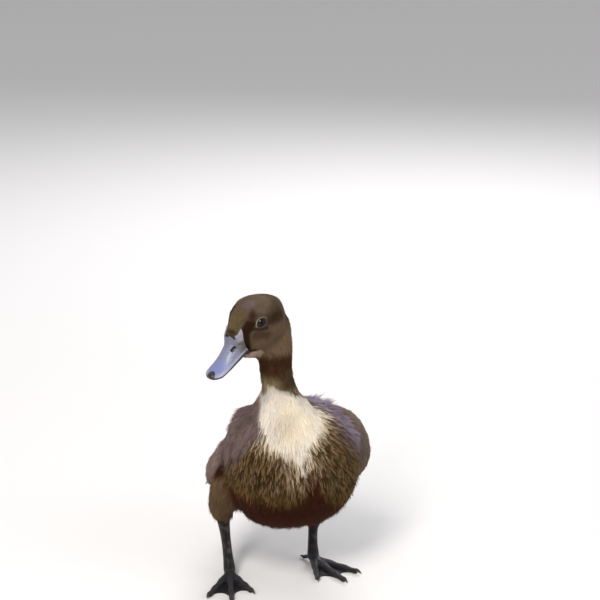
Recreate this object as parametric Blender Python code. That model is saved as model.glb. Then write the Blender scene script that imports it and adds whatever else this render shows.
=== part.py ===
"""A black Swedish duckling about two weeks old, standing with its head turned to its right.

Metres, +Z up. The bird faces -Y and its left side is towards +X. The solids reach out to the
tips of the down. Every node is one closed solid, and neighbours stand GAP apart.
"""

import math

import bmesh
import bpy
from mathutils import Matrix, Vector

GAP = 0.0003  # left between two pieces that touch
FLOOR = 0.0

# The trunk runs from the tail's tip over the rump and breast up the neck. Each station is its
# middle x, y, z, its half width, its half depths to the back and to the belly, and the angle in
# degrees by which it leans from upright as the spine climbs from the rump to the neck.
TRUNK = [
    (0.0130, 0.0975, 0.0585, 0.0080, 0.0016, 0.0022, 26),
    (0.0130, 0.0900, 0.0618, 0.0138, 0.0062, 0.0076, 24),
    (0.0130, 0.0780, 0.0655, 0.0200, 0.0128, 0.0155, 18),
    (0.0130, 0.0600, 0.0680, 0.0300, 0.0240, 0.0275, 12),
    (0.0120, 0.0320, 0.0720, 0.0400, 0.0385, 0.0405, 14),
    (0.0118, 0.0040, 0.0785, 0.0454, 0.0460, 0.0460, 20),
    (0.0115, -0.0170, 0.0920, 0.0455, 0.0410, 0.0455, 33),
    (0.0070, -0.0290, 0.1105, 0.0370, 0.0330, 0.0350, 54),
    (0.0020, -0.0310, 0.1255, 0.0258, 0.0224, 0.0230, 68),
    (0.0000, -0.0290, 0.1395, 0.0132, 0.0148, 0.0148, 79),
    (-0.0022, -0.0258, 0.1540, 0.0107, 0.0120, 0.0118, 87),
    (-0.0030, -0.0200, 0.1680, 0.0127, 0.0137, 0.0116, 94),
    (-0.0044, -0.0140, 0.1825, 0.0152, 0.0152, 0.0122, 94),
    (-0.0042, -0.0110, 0.1900, 0.0138, 0.0130, 0.0112, 94),
]
TAIL_CUT = 2.55  # where the tail ends and the torso begins, in stations
NECK_CUT = 8.45
TRUNK_SIDES = 36
BELLY_FULLNESS = 0.88
RINGS_PER_STATION = 3

# The head has a frame of its own: its middle is the origin, and it faces -Y before it is turned.
HEAD_CENTRE = Vector((-0.011, -0.016, 0.187))
HEAD_TURN = math.radians(-60)  # to the bird's right
HEAD_DROP = math.radians(32)  # bill below the horizon
# Distance forward, half width, half heights above and below the head's own axis
HEAD = [
    (-0.0200, 0.0026, 0.0042, 0.0070),
    (-0.0184, 0.0062, 0.0074, 0.0132),
    (-0.0145, 0.0106, 0.0118, 0.0180),
    (-0.0075, 0.0156, 0.0166, 0.0204),
    (0.0000, 0.0181, 0.0191, 0.0208),
    (0.0080, 0.0163, 0.0187, 0.0200),
    (0.0150, 0.0127, 0.0165, 0.0186),
    (0.0205, 0.0101, 0.0135, 0.0150),
    (0.0250, 0.0088, 0.0108, 0.0098),
]
HEAD_SIDES = 36
CROWN_FULLNESS = 0.73
BILL_ROOT = HEAD[-1][0]

# Distance forward, half width, height of the culmen and of the biting edge
UPPER_BILL = [
    (0.0253, 0.0086, 0.0099, -0.0034),
    (0.0290, 0.0086, 0.0074, -0.0039),
    (0.0340, 0.0083, 0.0046, -0.0043),
    (0.0390, 0.0083, 0.0024, -0.0043),
    (0.0440, 0.0085, 0.0009, -0.0039),
    (0.0485, 0.0083, -0.0001, -0.0036),
    (0.0515, 0.0063, -0.0008, -0.0033),
    (0.0532, 0.0034, -0.0016, -0.0032),
]
BILL_TIP = 0.0540
BILL_LIP = 0.0011  # height of the rolled edge of the upper bill
# Distance forward, half width, depth of the lower bill's underside
LOWER_BILL = [
    (0.0253, 0.0074, -0.0070),
    (0.0300, 0.0071, -0.0068),
    (0.0360, 0.0068, -0.0064),
    (0.0420, 0.0072, -0.0058),
    (0.0470, 0.0070, -0.0053),
    (0.0500, 0.0052, -0.0048),
    (0.0518, 0.0026, -0.0044),
]
NOSTRIL = Vector((0.0053, -0.0301, 0.0042))
NOSTRIL_SIZE = Vector((0.0010, 0.0024, 0.0010))
NOSTRIL_TILT = math.radians(12)
NAIL_CENTRE = Vector((0.0, -0.0512, -0.0017))
NAIL_SIZE = Vector((0.0030, 0.0026, 0.0016))

EYE = Vector((0.0120, -0.0066, 0.0089))
EYE_RADIUS = 0.0045
EYE_AXIS = Vector((0.87, -0.24, 0.43)).normalized()
LID_OUT = 0.0033  # the lid ring's distance from the eye's centre, outwards
LID_RADIUS = 0.0034
LID_THICKNESS = 0.0008
LID_SHAPE = (1.16, 0.94)  # longer along the head than it is high

# Each leg, from the hip to the foot's joint: x, y, z, half width, half depth
RIGHT_LEG = [
    (-0.0120, -0.0040, 0.0860, 0.0170, 0.0220),
    (-0.0270, -0.0010, 0.0680, 0.0140, 0.0180),
    (-0.0340, 0.0020, 0.0540, 0.0096, 0.0120),
    (-0.0338, 0.0055, 0.0450, 0.0074, 0.0088),
    (-0.0328, 0.0080, 0.0365, 0.0046, 0.0055),
    (-0.0320, 0.0045, 0.0250, 0.0034, 0.0043),
    (-0.0316, -0.0010, 0.0135, 0.0035, 0.0042),
    (-0.0315, -0.0050, 0.0060, 0.0042, 0.0046),
    (-0.0315, -0.0062, 0.0030, 0.0036, 0.0042),
]
LEFT_LEG = [
    (0.0300, 0.0040, 0.0780, 0.0200, 0.0240),
    (0.0375, 0.0060, 0.0590, 0.0160, 0.0195),
    (0.0352, 0.0100, 0.0450, 0.0118, 0.0140),
    (0.0344, 0.0145, 0.0340, 0.0076, 0.0088),
    (0.0342, 0.0170, 0.0275, 0.0046, 0.0055),
    (0.0328, 0.0145, 0.0205, 0.0034, 0.0043),
    (0.0316, 0.0100, 0.0125, 0.0035, 0.0042),
    (0.0310, 0.0062, 0.0060, 0.0042, 0.0046),
    (0.0310, 0.0050, 0.0030, 0.0036, 0.0042),
]
SHANK_CUT = 3.35  # where the thigh's down ends, in stations
FOOT_CUT = 6.55
LEG_SIDES = 18
SHANK_SLIMMER = 0.72  # the bare shank's width against the thigh's where they meet

# Each toe: length without its claw, spread from the foot's own direction in degrees
TOES = {"outer": (0.036, 25), "middle": (0.040, 0), "inner": (0.031, -27)}
# A toe's half width, half height and height of its middle, from the root to the tip
TOE_SECTIONS = [
    (0.00, 0.0034, 0.0036, 0.0034),
    (0.18, 0.0026, 0.0027, 0.0026),
    (0.40, 0.0028, 0.0029, 0.0025),
    (0.55, 0.0021, 0.0023, 0.0021),
    (0.72, 0.0024, 0.0026, 0.0021),
    (0.86, 0.0018, 0.0020, 0.0018),
    (0.97, 0.0019, 0.0020, 0.0017),
    (1.00, 0.0012, 0.0013, 0.0016),
]
TOE_SIDES = 10
HIND_TOE_LENGTH = 0.0085
HIND_TOE_SPREAD = 165
HIND_TOE_SCALE = 0.62
HIND_TOE_HEIGHT = 0.0030
CLAW_LENGTH = 0.0052
CLAW_RADIUS = 0.0013
WEB_THICKNESS = 0.0011
WEB_REACH = 0.90  # how far along each toe the web goes
WEB_SAG = 0.16  # how far its free edge curves back, as a share of the toe's length
FOOT_TURN = {"right": math.radians(-9), "left": math.radians(19)}

# A wing from the shoulder to its tip: x out from the body's middle, y, z, half thickness, half height
# The two wings are held differently: the right one's tip stands out from the flank.
WINGS = {
    "right": [
        (0.0180, -0.0130, 0.1180, 0.0035, 0.0055),
        (0.0335, -0.0060, 0.1060, 0.0060, 0.0095),
        (0.0385, 0.0010, 0.0925, 0.0066, 0.0105),
        (0.0445, 0.0085, 0.0790, 0.0072, 0.0105),
        (0.0490, 0.0165, 0.0675, 0.0060, 0.0085),
        (0.0503, 0.0235, 0.0590, 0.0036, 0.0055),
        (0.0508, 0.0270, 0.0545, 0.0012, 0.0018),
    ],
    "left": [
        (0.0180, -0.0130, 0.1200, 0.0035, 0.0055),
        (0.0355, -0.0060, 0.1075, 0.0075, 0.0105),
        (0.0440, 0.0020, 0.0935, 0.0090, 0.0120),
        (0.0496, 0.0120, 0.0790, 0.0084, 0.0120),
        (0.0500, 0.0210, 0.0665, 0.0060, 0.0098),
        (0.0490, 0.0280, 0.0570, 0.0036, 0.0058),
        (0.0484, 0.0310, 0.0525, 0.0012, 0.0018),
    ],
}
WING_MIDDLE = Vector((0.0145, 0.0, 0.0800))
WING_ROLL = {"right": math.radians(7), "left": 0.0}
WING_SIDES = 18

# The tail's stiff down, as flat tapered locks in two tiers
TAIL_TIERS = [
    {"locks": 11, "length": 0.031, "spread": 30, "lift": 0.0022, "rise": -13},
    {"locks": 9, "length": 0.026, "spread": 25, "lift": -0.0016, "rise": -27},
]
TAIL_ROOT = Vector((0.013, 0.0820, 0.0645))
TAIL_LOCK_WIDTH = 0.0072
TAIL_LOCK_THICKNESS = 0.0015
TAIL_SWEEP = 0.0100  # how far to the side the outermost root stands

DOWN_HEAD = ("down_head", (0.085, 0.060, 0.042), 0.85)
DOWN_BODY = ("down_body", (0.070, 0.045, 0.030), 0.9)
DOWN_THIGH = ("down_thigh", (0.085, 0.058, 0.040), 0.9)
BILL_HORN = ("bill_horn", (0.230, 0.260, 0.370), 0.4)
LEG_SKIN = ("leg_skin", (0.030, 0.024, 0.022), 0.45)
EYE_GLOSS = ("eye_gloss", (0.012, 0.008, 0.006), 0.08)


def material(kind):
    """The material of this kind, made once."""
    name, colour, roughness = kind
    found = bpy.data.materials.get(name)
    if found:
        return found
    made = bpy.data.materials.new(name)
    made.use_nodes = True
    shader = made.node_tree.nodes["Principled BSDF"]
    shader.inputs["Base Color"].default_value = (*colour, 1.0)
    shader.inputs["Roughness"].default_value = roughness
    made.diffuse_color = (*colour, 1.0)
    return made


def object_from(mesh_builder, name):
    """A scene object from a bmesh whose faces are turned outwards."""
    bmesh.ops.recalc_face_normals(mesh_builder, faces=mesh_builder.faces)
    mesh = bpy.data.meshes.new(name)
    mesh_builder.to_mesh(mesh)
    mesh_builder.free()
    made = bpy.data.objects.new(name, mesh)
    bpy.context.scene.collection.objects.link(made)
    return made


def between(stations, t):
    """The station at t, on a smooth curve through all of them."""
    last = len(stations) - 1
    t = min(max(t, 0.0), float(last))
    i = min(int(t), last - 1)
    s = t - i
    a, b, c, d = (stations[min(max(i + k, 0), last)] for k in (-1, 0, 1, 2))
    if i == 0:
        a = [2 * p - q for p, q in zip(b, c)]
    if i == last - 1:
        d = [2 * q - p for p, q in zip(b, c)]
    return [
        0.5 * (2 * q + (r - p) * s + (2 * p - 5 * q + 4 * r - u) * s**2 + (3 * q - p - 3 * r + u) * s**3)
        for p, q, r, u in zip(a, b, c, d)
    ]


def steps(start, end, per_station=RINGS_PER_STATION):
    """Evenly spaced places from start to end, in stations."""
    count = max(2, round((end - start) * per_station))
    return [start + (end - start) * i / count for i in range(count + 1)]


def oval(centre, across, up, half_width, half_up, half_down, sides, fullness=1.0, crown=1.0):
    """Points of an egg-shaped section. Less than 1, fullness makes its lower half squarer, crown its upper."""
    points = []
    for i in range(sides):
        angle = 2 * math.pi * i / sides
        side, high = math.cos(angle), math.sin(angle)
        square = fullness if high < 0 else crown
        side = math.copysign(abs(side) ** square, side)
        high = math.copysign(abs(high) ** square, high)
        height = half_up if high > 0 else half_down
        points.append(centre + across * half_width * side + up * height * high)
    return points


def skin(name, rings, start_tip=None, end_tip=None):
    """A closed body through rings of points, with flat ends or a point beyond each end."""
    builder = bmesh.new()
    made = [[builder.verts.new(p) for p in ring] for ring in rings]
    sides = len(rings[0])
    for first, second in zip(made, made[1:]):
        for i in range(sides):
            j = (i + 1) % sides
            builder.faces.new((first[i], first[j], second[j], second[i]))
    for ring, tip in ((made[0], start_tip), (made[-1], end_tip)):
        if tip is None:
            builder.faces.new(ring)
            continue
        point = builder.verts.new(tip)
        for i in range(sides):
            builder.faces.new((ring[i], ring[(i + 1) % sides], point))
    return object_from(builder, name)


def trunk_ring(t, grow=0.0):
    """The trunk's section at t, made larger all round by grow."""
    x, y, z, width, back, belly, lean = between(TRUNK, t)
    lean = math.radians(lean)
    up = Vector((0.0, math.sin(lean), math.cos(lean)))
    half = (width + grow, back + grow, belly + grow)
    return oval(Vector((x, y, z)), Vector((1, 0, 0)), up, *half, TRUNK_SIDES, BELLY_FULLNESS)


def trunk_piece(name, start, end, grow=0.0, tip=None):
    rings = [trunk_ring(t, grow) for t in steps(start, end)]
    return skin(name, rings, start_tip=tip)


def stations_per_metre(stations, t):
    """How many stations one metre of the middle line holds, near t."""
    reach = 0.05
    here, there = between(stations, t - reach), between(stations, t + reach)
    return 2 * reach / (Vector(there[:3]) - Vector(here[:3])).length


def cut_places(stations, t):
    """The two ends, GAP apart, of the pieces that meet at t."""
    half = GAP / 2 * stations_per_metre(stations, t)
    return t - half, t + half


def head_place():
    """Carries the head's own frame into the bird's."""
    turn = Matrix.Rotation(HEAD_TURN, 4, "Z") @ Matrix.Rotation(HEAD_DROP, 4, "X")
    return Matrix.Translation(HEAD_CENTRE) @ turn


def along_head(forward):
    return Vector((0.0, -forward, 0.0))


def head_body(name, grow=0.0):
    rings = []
    for t in steps(0, len(HEAD) - 1):
        forward, width, above, below = between(HEAD, t)
        half = (width + grow, above + grow, below + grow)
        centre = along_head(forward)
        rings.append(oval(centre, Vector((1, 0, 0)), Vector((0, 0, 1)), *half, HEAD_SIDES, crown=CROWN_FULLNESS))
    tip = along_head(HEAD[0][0] - 0.0006 - grow)
    made = skin(name, rings, start_tip=tip)
    made.data.transform(head_place())
    return made


def bill_edge(forward):
    """Height of the upper bill's biting edge at this distance forward."""
    for first, second in zip(UPPER_BILL, UPPER_BILL[1:]):
        if forward <= second[0]:
            share = (forward - first[0]) / (second[0] - first[0])
            return first[3] + (second[3] - first[3]) * max(share, 0.0)
    return UPPER_BILL[-1][3]


def upper_bill():
    """A dome with a ridged culmen over a flat underside and a rolled edge."""
    arc = 14
    rings = []
    for t in steps(0, len(UPPER_BILL) - 1, 2):
        forward, width, culmen, edge = between(UPPER_BILL, t)
        lip = edge + BILL_LIP
        ring = []
        for i in range(arc + 1):
            angle = math.pi * i / arc
            height = lip + (culmen - lip) * math.sin(angle) ** 1.25
            ring.append(Vector((width * math.cos(angle), -forward, height)))
        for share in (-0.93, -0.5, 0.0, 0.5, 0.93):
            ring.append(Vector((width * share, -forward, edge)))
        rings.append(ring)
    tip = Vector((0, -BILL_TIP, (UPPER_BILL[-1][2] + UPPER_BILL[-1][3]) / 2))
    made = skin("bill_upper", rings, end_tip=tip)
    nail = ball("nail", NAIL_CENTRE, NAIL_SIZE, 14, 8)
    join(made, [nail])
    nostrils = []
    for side in (-1, 1):
        centre = Vector((side * NOSTRIL.x, NOSTRIL.y, NOSTRIL.z))
        tilt = Matrix.Rotation(NOSTRIL_TILT, 4, "X")
        nostrils.append(ball("nostril", centre, NOSTRIL_SIZE, 12, 8, tilt))
    carve(made, nostrils)
    made.data.transform(head_place())
    return made


def lower_bill():
    rings = []
    for t in steps(0, len(LOWER_BILL) - 1, 2):
        forward, width, under = between(LOWER_BILL, t)
        top = bill_edge(forward) - GAP
        ring = [Vector((width * share, -forward, top)) for share in (1.0, 0.5, 0.0, -0.5, -1.0)]
        arc = 8
        for i in range(1, arc):
            angle = math.pi + math.pi * i / arc
            height = top + (top - under) * math.sin(angle)
            ring.append(Vector((width * math.cos(angle), -forward, height)))
        rings.append(ring)
    made = skin("bill_lower", rings)
    made.data.transform(head_place())
    return made


def ball(name, centre, size, around, down, turn=None):
    """An ellipsoid with these half sizes, turned about its own middle."""
    builder = bmesh.new()
    bmesh.ops.create_uvsphere(builder, u_segments=around, v_segments=down, radius=1.0)
    place = Matrix.Translation(centre) @ (turn or Matrix.Identity(4)) @ Matrix.Diagonal((*size, 1.0))
    bmesh.ops.transform(builder, matrix=place, verts=builder.verts)
    return object_from(builder, name)


def ring_torus(name, place, radius, shape, thickness, around=28, through=8):
    """An oval ring in the XY plane of place."""
    builder = bmesh.new()
    loops = []
    for i in range(around):
        angle = 2 * math.pi * i / around
        outward = Vector((math.cos(angle) * shape[0], math.sin(angle) * shape[1], 0.0))
        loop = []
        for k in range(through):
            turn = 2 * math.pi * k / through
            swell = outward * (radius + thickness * math.cos(turn))
            loop.append(builder.verts.new(place @ (swell + Vector((0, 0, thickness * math.sin(turn))))))
        loops.append(loop)
    for i in range(around):
        first, second = loops[i], loops[(i + 1) % around]
        for k in range(through):
            j = (k + 1) % through
            builder.faces.new((first[k], first[j], second[j], second[k]))
    return object_from(builder, name)


def applied(target):
    """Replaces the object's mesh by what its modifiers make of it."""
    bpy.context.view_layer.update()
    graph = bpy.context.evaluated_depsgraph_get()
    mesh = bpy.data.meshes.new_from_object(target.evaluated_get(graph))
    target.modifiers.clear()
    old = target.data
    target.data = mesh
    bpy.data.meshes.remove(old)


def boolean(target, others, operation, solver="EXACT"):
    """One Boolean with a collection of the others, which are then removed."""
    group = bpy.data.collections.new("pieces")
    bpy.context.scene.collection.children.link(group)
    for other in others:
        bpy.context.scene.collection.objects.unlink(other)
        group.objects.link(other)
    modifier = target.modifiers.new("pieces", "BOOLEAN")
    modifier.operation = operation
    modifier.operand_type = "COLLECTION"
    modifier.collection = group
    modifier.solver = solver
    applied(target)
    for other in others:
        bpy.data.objects.remove(other)
    bpy.data.collections.remove(group)


def join(target, pieces, solver="EXACT"):
    boolean(target, pieces, "UNION", solver)


def carve(target, cutters, solver="EXACT"):
    boolean(target, cutters, "DIFFERENCE", solver)


def keep_largest(target):
    """Leaves only the closed surface that holds most volume."""
    builder = bmesh.new()
    builder.from_mesh(target.data)
    unseen = set(builder.verts)
    islands = []
    while unseen:
        island, edge_of = set(), [unseen.pop()]
        while edge_of:
            vert = edge_of.pop()
            island.add(vert)
            for edge in vert.link_edges:
                other = edge.other_vert(vert)
                if other in unseen:
                    unseen.remove(other)
                    edge_of.append(other)
        islands.append(island)

    def volume(island):
        total = 0.0
        for face in builder.faces:
            if face.verts[0] not in island:
                continue
            a = face.verts[0].co
            for b, c in zip(face.verts[1:], face.verts[2:]):
                total += a.dot(b.co.cross(c.co)) / 6
        return total

    islands.sort(key=volume)
    spare = [vert for island in islands[:-1] for vert in island]
    bmesh.ops.delete(builder, geom=spare, context="VERTS")
    builder.to_mesh(target.data)
    builder.free()


def finish(target, kind, crease=50):
    """Gives a node its material and smooth shading."""
    target.data.materials.clear()
    target.data.materials.append(material(kind))
    target.data.shade_smooth()
    target.data.set_sharp_from_angle(angle=math.radians(crease))
    return target


def eye_centre(side):
    return head_place() @ Vector((side * EYE.x, EYE.y, EYE.z))


def eye_frame(side, out):
    """A frame on the eye's axis: X along the head, Y up, Z outwards."""
    axis = Vector((side * EYE_AXIS.x, EYE_AXIS.y, EYE_AXIS.z))
    along = Vector((0, -1, 0))
    along = (along - axis * along.dot(axis)).normalized()
    up = axis.cross(along)
    place = Matrix((along, up, axis)).transposed().to_4x4()
    centre = Vector((side * EYE.x, EYE.y, EYE.z)) + axis * out
    return head_place() @ Matrix.Translation(centre) @ place


def eyeball(name, side, grow=0.0):
    size = Vector((1, 1, 1)) * (EYE_RADIUS + grow)
    return ball(name, eye_centre(side), size, 24, 16)


def head():
    """The head with a socket and a raised lid ring on each side."""
    made = head_body("head")
    lids, sockets = [], []
    for side in (-1, 1):
        lids.append(ring_torus("lid", eye_frame(side, LID_OUT), LID_RADIUS, LID_SHAPE, LID_THICKNESS))
        sockets.append(eyeball("socket", side, GAP))
    join(made, lids)
    carve(made, sockets)
    keep_largest(made)
    return finish(made, DOWN_HEAD)


def leg_ring(stations, t, grow=0.0, slim=1.0):
    x, y, z, width, depth = between(stations, t)
    reach = 0.1
    ahead = Vector(between(stations, t + reach)[:3])
    behind = Vector(between(stations, t - reach)[:3])
    down = (ahead - behind).normalized()
    across = (Vector((1, 0, 0)) - down * down.x).normalized()
    back = across.cross(down)
    half = (width * slim + grow, depth * slim + grow, depth * slim + grow)
    return oval(Vector((x, y, z)), across, back, *half, LEG_SIDES)


def thigh(side, stations, grow=0.0):
    end = cut_places(stations, SHANK_CUT)[0]
    rings = [leg_ring(stations, t, grow) for t in steps(0, end)]
    return skin(f"thigh_{side}", rings)


def shank(side, stations):
    """The bare lower leg, narrower than the down that it comes out of."""
    start = cut_places(stations, SHANK_CUT)[1]
    end = cut_places(stations, FOOT_CUT)[0]
    rings = []
    for t in steps(start, end, 4):
        share = min((t - start) / (4 - start), 1.0)
        rings.append(leg_ring(stations, t, slim=SHANK_SLIMMER + (1 - SHANK_SLIMMER) * share))
    return finish(skin(f"shank_{side}", rings), LEG_SKIN)


def toe(start, direction, length, scale=1.0, height=0.0):
    """A jointed toe and its claw, from start along a level direction."""
    across = Vector((-direction.y, direction.x, 0.0))
    up = Vector((0, 0, 1))
    rings = []
    for share, width, high, middle in TOE_SECTIONS:
        centre = start + direction * length * share
        centre.z = FLOOR + middle * scale + height * (1 - share)
        rings.append(oval(centre, across, up, width * scale, high * scale, high * scale, TOE_SIDES))
    body = skin("toe", rings)
    rings = []
    root = start + direction * length * 0.95
    for share in (0.0, 0.35, 0.7, 1.0):
        centre = root + direction * CLAW_LENGTH * share * scale
        centre.z = FLOOR + (0.0026 - 0.0016 * share**2) * scale
        radius = CLAW_RADIUS * (1 - 0.78 * share) * scale
        rings.append(oval(centre, across, up, radius, radius * 1.1, radius * 0.8, 8))
    return [body, skin("claw", rings)]


def web(start, first, second):
    """The skin between two toes, with its free edge curved back."""
    ends = [start + direction * length * WEB_REACH for direction, length in (first, second)]
    middle = (first[0] + second[0]).normalized()
    hollow = (first[1] + second[1]) / 2 * WEB_SAG
    outline = [start - middle * 0.002]
    count = 8
    for i in range(count + 1):
        share = i / count
        point = ends[0].lerp(ends[1], share) - middle * hollow * math.sin(math.pi * share)
        outline.append(point)
    builder = bmesh.new()
    bottom = [builder.verts.new((p.x, p.y, FLOOR - 0.001)) for p in outline]
    top = [builder.verts.new((p.x, p.y, FLOOR + WEB_THICKNESS)) for p in outline]
    builder.faces.new(bottom)
    builder.faces.new(top)
    for i in range(len(outline)):
        j = (i + 1) % len(outline)
        builder.faces.new((bottom[i], bottom[j], top[j], top[i]))
    return object_from(builder, "web")


def foot(side, stations):
    """Three webbed toes, a hind toe and the joint above them, flat where they meet the floor."""
    top = cut_places(stations, FOOT_CUT)[1]
    made = skin(f"foot_{side}", [leg_ring(stations, t) for t in steps(top, len(stations) - 1, 3)])
    start = Vector(stations[-1][:3])
    outward = 1 if side == "left" else -1
    heading = {}
    for name, (length, spread) in TOES.items():
        angle = FOOT_TURN[side] + outward * math.radians(spread)
        heading[name] = (Vector((math.sin(angle), -math.cos(angle), 0.0)), length)
    pieces = []
    for direction, length in heading.values():
        pieces += toe(start, direction, length)
    pieces.append(web(start, heading["outer"], heading["middle"]))
    pieces.append(web(start, heading["middle"], heading["inner"]))
    back = FOOT_TURN[side] - outward * math.radians(HIND_TOE_SPREAD)
    behind = Vector((math.sin(back), -math.cos(back), 0.0))
    pieces += toe(start + behind * 0.002, behind, HIND_TOE_LENGTH, HIND_TOE_SCALE, HIND_TOE_HEIGHT)
    join(made, pieces)
    carve(made, [slab(start)])
    keep_largest(made)
    return finish(made, LEG_SKIN)


def slab(middle, reach=0.08, depth=0.02):
    """A block whose top is the floor, to cut a foot flat."""
    builder = bmesh.new()
    bmesh.ops.create_cube(builder, size=1.0)
    size = Matrix.Diagonal((2 * reach, 2 * reach, depth, 1.0))
    place = Matrix.Translation((middle.x, middle.y, FLOOR - depth / 2)) @ size
    bmesh.ops.transform(builder, matrix=place, verts=builder.verts)
    return object_from(builder, "slab")


def wing(side, outward):
    """A short flipper that hangs along the flank."""
    rings = []
    stations = WINGS[side]
    for t in steps(0, len(stations) - 1):
        x, y, z, thick, high = between(stations, t)
        reach = 0.1
        ahead = Vector(between(stations, t + reach)[:3])
        behind = Vector(between(stations, t - reach)[:3])
        along = ahead - behind
        along = Vector((along.x * outward, along.y, along.z)).normalized()
        across = Vector((outward, 0, 0))
        across = (across - along * across.dot(along)).normalized()
        up = along.cross(across)
        centre = Vector((WING_MIDDLE.x + outward * x, y, z))
        rings.append(oval(centre, across, up, thick, high, high, WING_SIDES))
    made = skin(f"wing_{side}", rings)
    about = Matrix.Translation(WING_MIDDLE)
    made.data.transform(about @ Matrix.Rotation(WING_ROLL[side], 4, "Y") @ about.inverted())
    return made


def lock(root, direction, flat, length, width, thickness, droop):
    """A flat tapered lock that bends down along its length. flat is its face's normal."""
    across = direction.cross(flat).normalized()
    rings = []
    shares = ((-0.18, 0.75), (0.15, 1.0), (0.5, 0.86), (0.78, 0.5), (0.96, 0.16))
    for share, broad in shares:
        centre = root + direction * length * share - flat * droop * max(share, 0) ** 2
        high = thickness * (1 - 0.55 * max(share, 0))
        rings.append(oval(centre, across, flat, width / 2 * broad, high / 2, high / 2, 6))
    return skin("lock", rings)


def tail():
    """The rump's end with two tiers of stiff, tapered down."""
    end = cut_places(TRUNK, TAIL_CUT)[0]
    made = trunk_piece("tail", 0.0, end)
    locks = []
    for tier in TAIL_TIERS:
        for i in range(tier["locks"]):
            share = 2 * i / (tier["locks"] - 1) - 1
            swing = math.radians(tier["spread"] * share)
            rise = math.radians(tier["rise"])
            direction = Vector((math.sin(swing) * math.cos(rise), math.cos(swing) * math.cos(rise), math.sin(rise)))
            flat = (Vector((0, 0, 1)) - direction * direction.z).normalized()
            root = TAIL_ROOT + Vector((TAIL_SWEEP * share, -0.003 * share**2, tier["lift"] * (1 - 0.5 * share**2)))
            length = tier["length"] * (1 - 0.22 * share**2)
            locks.append(lock(root, direction, flat, length, TAIL_LOCK_WIDTH, TAIL_LOCK_THICKNESS, 0.002))
    join(made, locks, "MANIFOLD")
    keep_largest(made)
    return finish(made, DOWN_BODY)


def stand_at_origin():
    """Moves the bird so that the middle of its box's bottom is the origin."""
    corners = [v.co for part in bpy.data.objects for v in part.data.vertices]
    low = Vector([min(c[i] for c in corners) for i in range(3)])
    high = Vector([max(c[i] for c in corners) for i in range(3)])
    middle = (low + high) / 2
    for part in bpy.data.objects:
        part.data.transform(Matrix.Translation((-middle.x, -middle.y, -low.z)))


def main():
    for old in list(bpy.data.objects):
        bpy.data.objects.remove(old)
    head()
    finish(upper_bill(), BILL_HORN)
    finish(lower_bill(), BILL_HORN)
    finish(eyeball("eye_right", -1), EYE_GLOSS)
    finish(eyeball("eye_left", 1), EYE_GLOSS)

    neck_end, neck_start = cut_places(TRUNK, NECK_CUT)
    torso_start = cut_places(TRUNK, TAIL_CUT)[1]
    finish(trunk_piece("torso", torso_start, neck_end), DOWN_BODY)
    neck = trunk_piece("neck", neck_start, len(TRUNK) - 1)
    carve(neck, [head_body("head_room", GAP)])
    keep_largest(neck)
    finish(neck, DOWN_HEAD)
    tail()

    for side, outward, stations in (("right", -1, RIGHT_LEG), ("left", 1, LEFT_LEG)):
        shank(side, stations)
        foot(side, stations)
        upper = thigh(side, stations)
        carve(upper, [trunk_piece("torso_room", TAIL_CUT, NECK_CUT, GAP)])
        keep_largest(upper)
        finish(upper, DOWN_THIGH)
        flipper = wing(side, outward)
        carve(flipper, [trunk_piece("torso_room", TAIL_CUT, NECK_CUT, GAP)])
        carve(flipper, [thigh(side, stations, GAP)])
        keep_largest(flipper)
        finish(flipper, DOWN_BODY)
    stand_at_origin()


main()
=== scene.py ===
"""The looks of a black Swedish duckling about two weeks old: skin, down, bill, eyes and feet."""

import math

import bmesh
import bpy
import numpy as np
from mathutils import Matrix, Vector
from mathutils.bvhtree import BVHTree
from mathutils.kdtree import KDTree


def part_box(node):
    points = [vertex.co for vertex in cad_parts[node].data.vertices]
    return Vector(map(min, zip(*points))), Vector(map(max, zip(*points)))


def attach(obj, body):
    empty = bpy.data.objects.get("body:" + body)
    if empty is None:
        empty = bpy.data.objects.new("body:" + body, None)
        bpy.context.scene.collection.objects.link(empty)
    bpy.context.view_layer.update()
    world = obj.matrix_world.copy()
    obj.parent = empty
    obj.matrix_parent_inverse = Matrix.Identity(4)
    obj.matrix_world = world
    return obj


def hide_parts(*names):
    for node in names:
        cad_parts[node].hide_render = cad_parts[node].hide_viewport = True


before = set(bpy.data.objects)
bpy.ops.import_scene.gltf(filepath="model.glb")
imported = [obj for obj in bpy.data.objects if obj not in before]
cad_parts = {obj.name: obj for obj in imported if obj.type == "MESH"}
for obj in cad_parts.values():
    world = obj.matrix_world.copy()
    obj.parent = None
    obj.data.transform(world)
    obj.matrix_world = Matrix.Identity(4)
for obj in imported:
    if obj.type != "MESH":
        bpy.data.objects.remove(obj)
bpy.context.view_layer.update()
RNG = np.random.default_rng(11)
MM = 1000  # millimetres in a metre

# The bird's own frame. Its origin is on the floor between the feet, it faces -Y, left is +X.
# The head has a frame of its own inside it.
HEAD_CENTRE = Vector((-0.011, -0.016, 0.187))
HEAD_TURN = math.radians(-60)
HEAD_NOD = math.radians(32)
HEAD = (
    Matrix.Translation(HEAD_CENTRE)
    @ Matrix.Rotation(HEAD_TURN, 4, "Z")
    @ Matrix.Rotation(HEAD_NOD, 4, "X")
)
EYE = Vector((0.0120, -0.0066, 0.0089))  # the left eye's centre in the head's frame
EYE_AXIS = Vector((0.87, -0.24, 0.43)).normalized()
EYE_RADIUS = 0.0045


def middle(node):
    low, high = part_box(node)
    return (low + high) / 2


BIRD = Matrix.Translation(middle("eye_left") - HEAD @ EYE)
SHIFT = np.array(BIRD.translation)
HEAD_TO_CAD = BIRD @ HEAD


def in_mm(points):
    """Places in the bird's own frame, in millimetres."""
    return (points - SHIFT) * MM


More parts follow.
